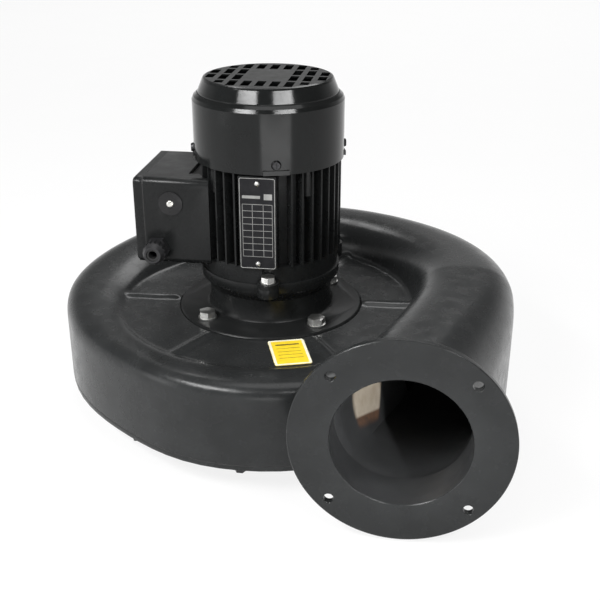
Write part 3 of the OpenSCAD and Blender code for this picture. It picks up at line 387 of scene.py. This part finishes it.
def paint_bare_lit_patch(finish):
    """Takes the thin paint off the side wall at the tongue and paints the unpainted metal pale as a pool of
    light, above a brown band of painted shade where that light fades.
    """
    n = Nodes(finish)
    x, y, z = n.axes(n.coords)
    height = n.math("MULTIPLY_ADD", x, WALL_FALL, z)
    wall = n.math("MULTIPLY", n.span(x, 1, 0, BARE_LIT_X), n.span(y, 0, 1, BARE_LIT_Y))
    # mask of the unpainted patch, whose outline is that of a painted pool of light
    bare_lit = n.math("MULTIPLY", wall, n.span(height, 0, 1, BARE_LIT_FROM))
    # brown band of painted shade under the painted pool of light
    shade_band = n.math("MULTIPLY", n.span(height, 0, 1, PAINTED_SHADE_FROM), n.span(n.noise(180, 4), 0.35, 0.9))
    painted = n.bsdf.inputs["Base Color"].links[0].from_socket
    sand_lit = n.mix(n.span(n.noise(60, 5), 0, 1), SAND_LIT_DARK, SAND_LIT_PALE)
    shaded = n.mix(n.math("MULTIPLY", wall, shade_band), painted, PAINTED_SHADE_BROWN)
    n.shader(Base_Color=n.mix(bare_lit, shaded, sand_lit))


def wear(obj, finish):
    obj.data.materials.clear()
    obj.data.materials.append(FINISH[finish])


# ---------------------------------------------------------------- the volute

# The same tables as the CAD model's, in millimetres and degrees. phi runs along the spiral from the tongue.
TONGUE = -70  # the tongue's bearing, seen from above
START, THROAT = -35, 290  # phi where the skin starts and where the straight duct takes over
FIRST_KNOT, KNOT_STEP = -90, 30
SPIRAL_R, SPIRAL_GAIN = 204.6, 60
CROWN_LOW, CROWN_HIGH = 85, 133
CROWN_POWER = 0.68
SHOULDER_LOW, SHOULDER_HIGH = 20, 58  # how far the shoulder lies under the crown
SHOULDER_FROM, SHOULDER_SPAN = 40, 270
WALL = 6
CHAMBER_R = 167
SKIN_IN, PASSAGE_IN = 9, 3  # how far the sections reach into the chamber
TONGUE_GAP, TONGUE_RUN = 6, 50  # the passage starts this wide and has its full width this many degrees on
CLOSED_FROM = 262  # past this phi the casting has a floor of its own, under the passage
JOINT_FROM, JOINT_TO, JOINT_PAST = -8, 282, 12  # the joint face's phi range and its margin round the skin
GROWTH = [0.06, 0.06, 0.07, 0.08, 0.057, -0.027, 0.233, 0.63, 0.743, 0.787, 0.809, 0.86, 0.93, 1.035, 1.14]
RISE = [0, 0, 0, 0, 0, 0, 0.03, 0.173, 0.42, 0.617, 0.7, 0.76, 0.89, 1.04, 1.15]

REACH = -OUTLET.y / MM  # from the axis to the outlet's face
ROUND_BY = REACH - 7  # the duct is fully round from here on
CASE = CASE_Z / MM
RAW_CASE = CASE - 12  # the raw casting runs past its joint face, which is cut afterwards
SKIN_COUNTS = (16, 12, 72)  # points along a section's floor, each wall and the crown
PASSAGE_COUNTS = (10, 8, 40)

SPIRAL_STEPS, DUCT_STEPS, PASSAGE_STEPS = 150, 44, 30
FINE, FINER = 192, 200  # steps round large turned faces

VOXEL = 2.3 * MM
SMOOTHING, SMOOTH_ROUNDS = 0.5, 7
EDGE = 0.8 * MM  # how far machined edges are broken
PLATE_T = 12 * MM
INSIDE_REACH = 1.0 * MM  # a face this near to a cutter's skin was cut by it
RIBS, RIB_START = 6, 3  # how many, and the first one's bearing
RIB_W, RIB_L, RIB_RISE = 7 * MM, 58 * MM, 3.2 * MM
RIB_GAP, RIB_FOOT = 4 * MM, 2 * MM  # from the motor flange, and into the plate
FLANGE_BOLTS = (45, 135, 225, 315)


def along(table, phi):
    """Smooth curve through a table with one value every KNOT_STEP degrees."""
    x = (phi - FIRST_KNOT) / KNOT_STEP
    i = int(math.floor(x))
    w = x - i
    a, b, c, d = (table[max(0, min(len(table) - 1, i + k))] for k in (-1, 0, 1, 2))
    return b + 0.5 * w * (c - a + w * (2 * a - 5 * b + 4 * c - d + w * (3 * (b - c) + d - a)))


def spiral(phi):
    return SPIRAL_R + SPIRAL_GAIN * along(GROWTH, phi)


def crown_z(phi):
    return CASE_Z / MM + lerp(CROWN_LOW, CROWN_HIGH, along(RISE, phi))


def shoulder_z(phi):
    return crown_z(phi) - lerp(SHOULDER_LOW, SHOULDER_HIGH, ease((phi - SHOULDER_FROM) / SHOULDER_SPAN))


def tube_section(r0, r1, z0, zs, zt, counts):
    """Section between two radii: flat floor at z0, walls up to zs and a full crown up to zt."""
    floor, wall, crown = counts
    c, h = (r0 + r1) / 2, (r1 - r0) / 2
    pts = [(lerp(r0, r1, k / floor), z0) for k in range(floor)]
    pts += [(r1, lerp(z0, zs, k / wall)) for k in range(wall)]
    for k in range(crown):
        a = math.pi * k / crown
        u, v = math.cos(a), math.sin(a)
        pts.append((c + h * math.copysign(abs(u) ** CROWN_POWER, u), zs + (zt - zs) * abs(v) ** CROWN_POWER))
    pts += [(r0, lerp(zs, z0, k / wall)) for k in range(wall)]
    return pts


def round_section(r, counts):
    """The outlet's circle, with its points placed to match tube_section's."""
    floor, wall, crown = counts
    angles = [-135 + 90 * k / floor for k in range(floor)]
    angles += [-45 + 45 * k / wall for k in range(wall)]
    angles += [180 * k / crown for k in range(crown)]
    angles += [180 + 45 * k / wall for k in range(wall)]
    return [(OUTLET.x / MM + r * math.cos(math.radians(a)), OUTLET.z / MM + r * math.sin(math.radians(a)))
            for a in angles]


def skin_section(phi, counts):
    return tube_section(CHAMBER_R - SKIN_IN, spiral(phi), RAW_CASE, shoulder_z(phi), crown_z(phi), counts)


def passage_section(phi, counts):
    outer = lerp(CHAMBER_R + TONGUE_GAP, spiral(phi) - WALL, ease(phi / TONGUE_RUN))
    floor_z = CASE - 1 if phi < CLOSED_FROM else CASE + WALL
    shoulder, crown = shoulder_z(phi) - WALL / 2, crown_z(phi) - WALL
    return tube_section(CHAMBER_R - PASSAGE_IN, outer, floor_z, shoulder, crown, counts)


def stand_radial(section, phi):
    a = math.radians(TONGUE - phi)
    return [(p[0] * math.cos(a), p[0] * math.sin(a), p[1]) for p in section]


def duct_rings(throat, end, steps, length):
    """Rings that turn from the throat's section into the round one, over this length of straight duct."""
    rings = []
    for k in range(steps + 1):
        s = k / steps
        w = 1.0 if k == steps else ease(s * length / ROUND_BY)
        rings.append([(lerp(p[0], q[0], w), -length * s, lerp(p[1], q[1], w)) for p, q in zip(throat, end)])
    return rings


def raw_casting():
    """Spiral, duct, back plate and ribs, melted into one skin with soft fillets."""
    phis = np.linspace(START, THROAT, SPIRAL_STEPS)
    body = lofted("scroll_finish", [stand_radial(skin_section(p, SKIN_COUNTS), p) for p in phis])
    end = round_section(OUTLET_R / MM + WALL + 0.5, SKIN_COUNTS)
    duct = duct_rings(skin_section(THROAT, SKIN_COUNTS), end, DUCT_STEPS, REACH - 3)
    combine(body, lofted("duct", duct), "UNION")
    combine(body, rod("plate", (CHAMBER_R + 1) * MM, (RAW_CASE + 0.4) * MM, PLATE_Z, FINER), "UNION")
    mid = FLANGE_R + RIB_GAP + RIB_L / 2
    for k in range(RIBS):
        rib = make("rib", *cuboid((mid - RIB_L / 2, -RIB_W / 2, PLATE_Z - RIB_FOOT),
                                  (mid + RIB_L / 2, RIB_W / 2, PLATE_Z + RIB_RISE)))
        rib.data.transform(Matrix.Rotation(math.radians(RIB_START + 360 // RIBS * k), 4, "Z"))
        outward(rib)
        combine(body, rib, "UNION")
    apply(body, "REMESH", mode="VOXEL", voxel_size=VOXEL, adaptivity=0.0, use_smooth_shade=True)
    apply(body, "SMOOTH", factor=SMOOTHING, iterations=SMOOTH_ROUNDS)
    low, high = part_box("scroll_housing")  # the smoothed skin stays inside the CAD one's box
    for vert in body.data.vertices:
        vert.co = [min(max(c, a), b) for c, a, b in zip(vert.co, low, high)]
    return body


def outlet_flange():
    r, t = OUTLET_FLANGE_R, OUTLET_FLANGE_T
    profile = [(0, 0), (r - EDGE, 0), (r, EDGE), (r, t - EDGE), (r - EDGE, t), (0, t)]
    return revolved("outlet_flange", profile, FINE, toward_front(OUTLET.x, OUTLET.y + t, OUTLET.z))


def joint_cut():
    """Everything under the joint face, inside the cover's outline and a little past it."""
    outline = []
    for phi in np.linspace(JOINT_FROM, JOINT_TO, 90):
        r, a = spiral(phi) + JOINT_PAST, math.radians(TONGUE - phi)
        outline.append((r * math.cos(a), r * math.sin(a)))
    n = len(outline)
    verts = [(x * MM, y * MM, z) for z in (CASE_Z - 30 * MM, CASE_Z) for x, y in outline]
    faces = [list(range(n)), list(range(2 * n - 1, n - 1, -1))]
    faces += [(k, n + k, n + (k + 1) % n, (k + 1) % n) for k in range(n)]
    obj = make("joint_cut", verts, faces)
    outward(obj)
    return obj


def passage():
    """Air's way along the spiral and through the duct."""
    rings = [stand_radial(passage_section(p, PASSAGE_COUNTS), p) for p in np.arange(2, THROAT - 1, 3.0)]
    end = round_section(OUTLET_R / MM + 1, PASSAGE_COUNTS)
    throat = passage_section(THROAT, PASSAGE_COUNTS)
    return lofted("passage", rings + duct_rings(throat, end, PASSAGE_STEPS, REACH - BORE_DEPTH / MM))


def mouth():
    """The machined bore of the outlet, which widens by EDGE where it ends inside."""
    wide, end = OUTLET_R + EDGE, BORE_DEPTH + 9 * MM
    profile = [(0, -1 * MM), (OUTLET_R, -1 * MM), (OUTLET_R, BORE_DEPTH - EDGE), (wide, BORE_DEPTH),
               (wide, end), (0, end)]
    return revolved("mouth", profile, FINE, toward_front(OUTLET.x, OUTLET.y + BORE_DEPTH, OUTLET.z))


def recess():
    """The motor flange's seat in the back plate, with a broken rim."""
    slack, rim, above = 0.3 * MM, 1.3 * MM, PLATE_Z + 5 * MM
    profile = [(0, SEAT_Z), (FLANGE_R + slack, SEAT_Z), (FLANGE_R + slack, PLATE_Z - 0.5 * MM),
               (FLANGE_R + rim, PLATE_Z + 0.5 * MM), (FLANGE_R + rim, above), (0, above)]
    return revolved("recess", profile, FINE)


def bolt_hole(angle):
    """One hole of the outlet flange, with a broken edge at its face."""
    a = math.radians(angle)
    behind, c = 2 * MM, 0.5 * MM
    face = OUTLET_FLANGE_T + behind
    profile = [(0, -1 * MM), (BOLT_R, -1 * MM), (BOLT_R, face - c), (BOLT_R + 2 * c, face + c), (0, face + c)]
    at = (OUTLET.x + BOLT_PCD / 2 * math.cos(a), OUTLET.y + OUTLET_FLANGE_T + behind,
          OUTLET.z + BOLT_PCD / 2 * math.sin(a))
    return revolved("hole", profile, 48, toward_front(*at))


def volute():
    body = raw_casting()
    combine(body, outlet_flange(), "UNION")
    combine(body, joint_cut(), "DIFFERENCE")
    air = passage()
    chamber = rod("chamber", CHAMBER_R * MM, CASE_Z - 20 * MM, PLATE_Z - PLATE_T, FINER)
    inside = [skin_of(air), skin_of(chamber)]
    combine(body, air, "DIFFERENCE")
    combine(body, chamber, "DIFFERENCE")
    bore = mouth()
    inside.append(skin_of(bore))
    combine(body, bore, "DIFFERENCE")
    combine(body, recess(), "DIFFERENCE")
    spigot_hole = rod("spigot_hole", SPIGOT_HOLE_R, SEAT_Z - 30 * MM, SEAT_Z + 1 * MM, 160)
    combine(body, spigot_hole, "DIFFERENCE")
    for angle in FLANGE_BOLTS:
        combine(body, bolt_hole(angle), "DIFFERENCE")
    smooth(body, 30)
    wear(body, "cast_paint")
    body.data.materials.append(FINISH["thin_paint"])
    for face in body.data.polygons:
        at = face.center
        if at.y > OUTLET.y + 1 * MM and any(skin.find_nearest(at, INSIDE_REACH)[0] for skin in inside):
            face.material_index = 1
    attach(body, "stator")
    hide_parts("scroll_housing")


# ---------------------------------------------------------------- nameplate and label

PLATE_ROWS = 8
PLATE_LINE, PLATE_RULE = 0.25 * MM, 0.22 * MM  # half the width of its level and upright lines
LABEL_W, LABEL_H = 37 * MM, 54 * MM


def rounded_outline(w, h, r, steps=6):
    """Corner-rounded rectangle about the origin, counterclockwise."""
    pts = []
    for cx, cy, start in ((w / 2 - r, h / 2 - r, 0), (-w / 2 + r, h / 2 - r, 90),
                          (-w / 2 + r, -h / 2 + r, 180), (w / 2 - r, -h / 2 + r, 270)):
        for k in range(steps + 1):
            a = math.radians(start + 90 * k / steps)
            pts.append((cx + r * math.cos(a), cy + r * math.sin(a)))
    return pts


def stacked(loops):
    """Verts and faces of a closed solid from (outline, height) pairs of equal length."""
    n = len(loops[0][0])
    verts = [(x, y, z) for outline, z in loops for x, y in outline]
    faces = [tuple(reversed(range(n))), tuple(range((len(loops) - 1) * n, len(loops) * n))]
    for i in range(len(loops) - 1):
        faces += [(i * n + k, i * n + (k + 1) % n, (i + 1) * n + (k + 1) % n, (i + 1) * n + k)
                  for k in range(n)]
    return verts, faces


def framed_plate(name, w, h, t, r, rim, lip, place, finishes, bars):
    """Thin plate with rounded corners, in the field's, the rim's and the bars' finishes.

    A rim of this width stands round a field that is lower by lip, and bars stand on the field. Of two
    finishes the second does for both the rim and the bars.
    """
    def loop(inset, z):
        return rounded_outline(w - 2 * inset, h - 2 * inset, max(r - inset, 0.3 * MM)), z

    chamfer, slope = 0.1 * MM, 0.15 * MM
    verts, faces = stacked([loop(0, 0), loop(0, t - chamfer), loop(chamfer, t), loop(rim, t),
                            loop(rim + slope, t - lip)])
    n = len(rounded_outline(w, h, r))
    flat = 2 + 2 * n  # the two ends, the side and the chamfer come before the rim and its inner slope
    tone = [0] * flat + [1] * (len(faces) - flat)
    for x0, y0, x1, y1 in bars:
        bar_verts, bar_faces = cuboid((x0, y0, t - lip - 0.05 * MM), (x1, y1, t - 0.3 * lip))
        base = len(verts)
        verts += bar_verts
        faces += [tuple(base + i for i in face) for face in bar_faces]
        tone += [len(finishes) - 1] * len(bar_faces)
    obj = make(name, verts, faces)
    for face, k in zip(obj.data.polygons, tone):
        face.material_index = k
    obj.data.transform(place)
    outward(obj)
    for finish in finishes:
        obj.data.materials.append(finish)
    return obj


def nameplate():
    """Dark plate with a bright frame and ruled, empty fields."""
    low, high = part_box("nameplate")
    w, t, h = high - low
    mid = (low + high) / 2
    field = w / 2 - 3 * MM
    top = h / 2 - 13 * MM
    head = 14 * MM  # height of the part over the ruled fields
    bars = [(-field, top - 8 * MM, field * 0.2, top - 5 * MM),
            (field * 0.45, top - 9 * MM, field, top - 3 * MM)]
    for k in range(PLATE_ROWS + 1):
        y = top - head - k * (2 * top - head) / PLATE_ROWS
        bars.append((-field, y - PLATE_LINE, field, y + PLATE_LINE))
    for x in (-field, -field / 3, field / 2.5, field):
        bars.append((x - PLATE_RULE, -top, x + PLATE_RULE, top - head))
    plate = framed_plate("nameplate_finish", w, h, t, 2 * MM, 0.7 * MM, 0.15 * MM,
                         toward_front(mid.x, high.y, mid.z), (FINISH["plate_metal"], RULED), bars)
    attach(plate, "stator")
    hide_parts("nameplate")


def label():
    """Yellow sticker with a pale border and plain ruled lines, its top towards the motor."""
    low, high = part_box("label_plate")
    mid = (low + high) / 2
    turn = Matrix.Rotation(math.atan2(mid.y, mid.x) + math.pi / 2, 4, "Z")
    place = Matrix.Translation((mid.x, mid.y, low.z)) @ turn
    half = 12 * MM
    bars = [(-half, 15 * MM, half, 17.5 * MM)]
    bars += [(-half, y * MM, half, (y + 0.7) * MM) for y in (8, 1, -6, -13)]
    sticker = framed_plate("label_finish", LABEL_W, LABEL_H, high.z - low.z, 2.5 * MM, 2.6 * MM, 0.05 * MM,
                           place, (FINISH["label_yellow"], BORDER, INK), bars)
    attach(sticker, "stator")
    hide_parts("label_plate")


# ---------------------------------------------------------------- visible parts with broken edges

# How far each one's edges are broken, in millimetres.
BROKEN = {
    "terminal_box": 1.2,
    "terminal_box_lid": 1.2,
    "drive_end_shield": 0.6,
    "rear_end_shield": 0.5,
    "inlet_cover": 0.8,
    "flange_bolts": 0.3,
    "frame_screws": 0.25,
    "cover_bolts": 0.25,
}
FLAT_WITHIN, HARD_FROM = 0.5, 28  # degrees: faces that become one, and edges that are broken


def refined(node, body, width):
    """Copy of a CAD node with its hard edges broken, which stands for the node."""
    cad = frame["nodes"][node]
    obj = link(bpy.data.objects.new(node + "_finish", cad.data.copy()))
    bm = bmesh.new()
    bm.from_mesh(obj.data)
    bmesh.ops.remove_doubles(bm, verts=bm.verts, dist=1e-6)
    bmesh.ops.dissolve_limit(bm, angle_limit=math.radians(FLAT_WITHIN), verts=bm.verts, edges=bm.edges)
    bm.to_mesh(obj.data)
    bm.free()
    apply(obj, "BEVEL", width=width, segments=2, limit_method="ANGLE", angle_limit=math.radians(HARD_FROM),
          use_clamp_overlap=True, harden_normals=False)
    smooth(obj, 35)
    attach(obj, body)
    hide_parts(node)
    return obj


def blanking_plug():
    """Domed plug with a bright centre pin, on the box's front."""
    low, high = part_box("blanking_plug")
    mid = (low + high) / 2
    r = (high.z - low.z) / 2
    depth = high.y - low.y
    thread_r, head, pin, edge = 7.3 * MM, 4 * MM, 3.8 * MM, 0.4 * MM
    rise, foot = 0.9 * MM, 2.2 * MM  # the dome starts this far under the pin's top
    steps = 8
    profile = [(0, 0), (thread_r, 0), (thread_r, depth - head), (r - edge, depth - head),
               (r, depth - head + edge)]
    for k in range(steps + 1):
        w = k / steps
        profile.append((lerp(r, pin + 0.5 * MM, w), depth - foot + rise * math.sin(w * math.pi / 2)))
    profile += [(pin, depth - 1.6 * MM)]
    profile += [(pin * math.cos(a), depth - 1.5 * MM + 1.5 * MM * math.sin(a))
                for a in np.linspace(0, math.pi / 2, steps + 1)[:-1]]
    profile += [(0, depth)]
    plug = revolved("blanking_plug_finish", profile, 64, toward_front(mid.x, high.y, mid.z))
    smooth(plug, 40)
    wear(plug, "gloss_plastic")
    plug.data.materials.append(FINISH["bright_pin"])
    for face in plug.data.polygons:
        c = face.center
        if math.hypot(c.x - mid.x, c.z - mid.z) < pin and c.y < low.y + 1.7 * MM:
            face.material_index = 1
    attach(plug, "stator")
    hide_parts("blanking_plug")


# ---------------------------------------------------------------- camera, floor and light

CAMERA_AT = (0.1738, -0.9762, 0.557)
CAMERA_AZIMUTH, CAMERA_DOWN = 8.234, 23.98  # degrees to the left of +Y and below the horizon
LENS, SENSOR = 58.44, 36
FLOOR_HALF, FLOOR_T = 40, 0.02
FLOOR_WHITE = 0.85  # the floor's share of plain white, for rays that show it
SKY = ((0.05, 0.885), (0.2, 0.47), (0.36, 0.15), (0.7, 0.1))  # (sine of the height, level)

COWL = (0, 0, 0.35)
# name, place, target, size, watts
LAMPS = (
    ("left_box", (-0.565, -1.117, 1.1), COWL, (0.74, 0.12), 10),
    ("right_box", (0.725, -1.024, 1.1), COWL, (0.74, 0.12), 9),
    ("left_high", (-0.65, -0.82, 1.15), (-0.05, -0.2, 0.11), (0.7, 0.12), 14),
    ("top", (0.1, 0.1, 2.2), (0.05, 0, 0), (1.2, 1.2), 11),
    ("left_wall", (-1.5, -0.9, 0.3), (-0.1, -0.1, 0.08), (0.5, 0.9), 4),
    ("front_card", (0.315, -0.865, 0.075), (0.0, 0.0, 0.1), (0.74, 0.14), 1.0),
    ("far_floor", (0.0, 3.4, 3.6), (0, 3.2, 0), (3.5, 2.0), 110),
)
SPOT_AT, SPOT_TARGET = (0.617, -0.88, 0.272), (0.165, -0.256, 0.1)  # through the outlet, at the bare wall
SPOT_WATTS, SPOT_ANGLE, SPOT_BLEND, SPOT_SOFT = 24, 9.5, 0.3, 0.02


def aim(obj, place, direction):
    obj.location = place
    obj.rotation_mode = "QUATERNION"
    obj.rotation_quaternion = direction.to_track_quat("-Z", "Y")


def camera():
    scene = bpy.context.scene
    scene.view_settings.view_transform = "Standard"
    cam = link(bpy.data.objects.new("camera", bpy.data.cameras.new("camera")))
    scene.camera = cam
    azimuth, down = math.radians(CAMERA_AZIMUTH), math.radians(CAMERA_DOWN)
    forward = (-math.sin(azimuth) * math.cos(down), math.cos(azimuth) * math.cos(down), -math.sin(down))
    aim(cam, CAMERA_AT, Vector(forward))
    cam.data.lens = LENS
    cam.data.sensor_width = SENSOR
    cam.data.clip_start = 0.05


def studio_floor():
    """Pale paper that keeps the shadow and is nearly white to the camera and in reflections."""
    floor = make("floor", *cuboid((-FLOOR_HALF, -FLOOR_HALF, -FLOOR_T), (FLOOR_HALF, FLOOR_HALF, 0)))
    n = Nodes(new_material("floor_paper"))
    pale = n.mix(n.span(n.noise(6, 3), 0, 1), (0.93, 0.93, 0.93), (0.96, 0.96, 0.96))
    n.shader(Base_Color=pale, Roughness=0.95, Specular_IOR_Level=0.0)
    path = n.new("LightPath")
    seen = path.outputs["Is Camera Ray"]
    for kind in ("Is Glossy Ray", "Is Transmission Ray"):
        seen = n.math("MAXIMUM", seen, path.outputs[kind])
    lift = n.new("MixShader")
    n.feed(lift.inputs[0], n.math("MULTIPLY", seen, FLOOR_WHITE))
    n.feed(lift.inputs[1], n.bsdf.outputs[0])
    n.feed(lift.inputs[2], n.new("Emission").outputs[0])
    n.feed(n.tree.nodes["Material Output"].inputs["Surface"], lift.outputs[0])
    floor.data.materials.append(n.mat)


def sky():
    """White sweep at the horizon, grey overhead."""
    world = bpy.data.worlds.new("studio")
    bpy.context.scene.world = world
    world.use_nodes = True
    tree = world.node_tree
    split = tree.nodes.new("ShaderNodeSeparateXYZ")
    ramp = tree.nodes.new("ShaderNodeValToRGB")
    tree.links.new(tree.nodes.new("ShaderNodeTexCoord").outputs["Generated"], split.inputs[0])
    tree.links.new(split.outputs["Z"], ramp.inputs[0])
    tree.links.new(ramp.outputs[0], tree.nodes["Background"].inputs["Color"])
    ramp.color_ramp.interpolation = "EASE"
    while len(ramp.color_ramp.elements) < len(SKY):
        ramp.color_ramp.elements.new(0.5)
    for stop, (at, level) in zip(ramp.color_ramp.elements, SKY):
        stop.position = at
        stop.color = (level, level, level, 1)


def lights():
    for name, place, target, size, watts in LAMPS:
        light = bpy.data.lights.new(name, "AREA")
        light.shape = "RECTANGLE"
        light.size, light.size_y = size
        light.energy = watts
        aim(link(bpy.data.objects.new(name, light)), place, Vector(target) - Vector(place))
    spot = bpy.data.lights.new("into_outlet", "SPOT")
    spot.energy = SPOT_WATTS
    spot.spot_size = math.radians(SPOT_ANGLE)
    spot.spot_blend = SPOT_BLEND
    spot.shadow_soft_size = SPOT_SOFT
    aim(link(bpy.data.objects.new("into_outlet", spot)), SPOT_AT, Vector(SPOT_TARGET) - Vector(SPOT_AT))


# ---------------------------------------------------------------- everything in its place

# paints the pool of light on the unpainted tongue wall, and the painted shade under it, into the inside's
# thin paint
paint_bare_lit_patch(FINISH["thin_paint"])
for name, obj in frame["nodes"].items():
    wear(obj, SLOT_OF[name])
volute()
nameplate()
label()
for node, width in BROKEN.items():
    piece = refined(node, "stator", width * MM)
    wear(piece, SLOT_OF[node])
blanking_plug()
camera()
studio_floor()
sky()
lights()
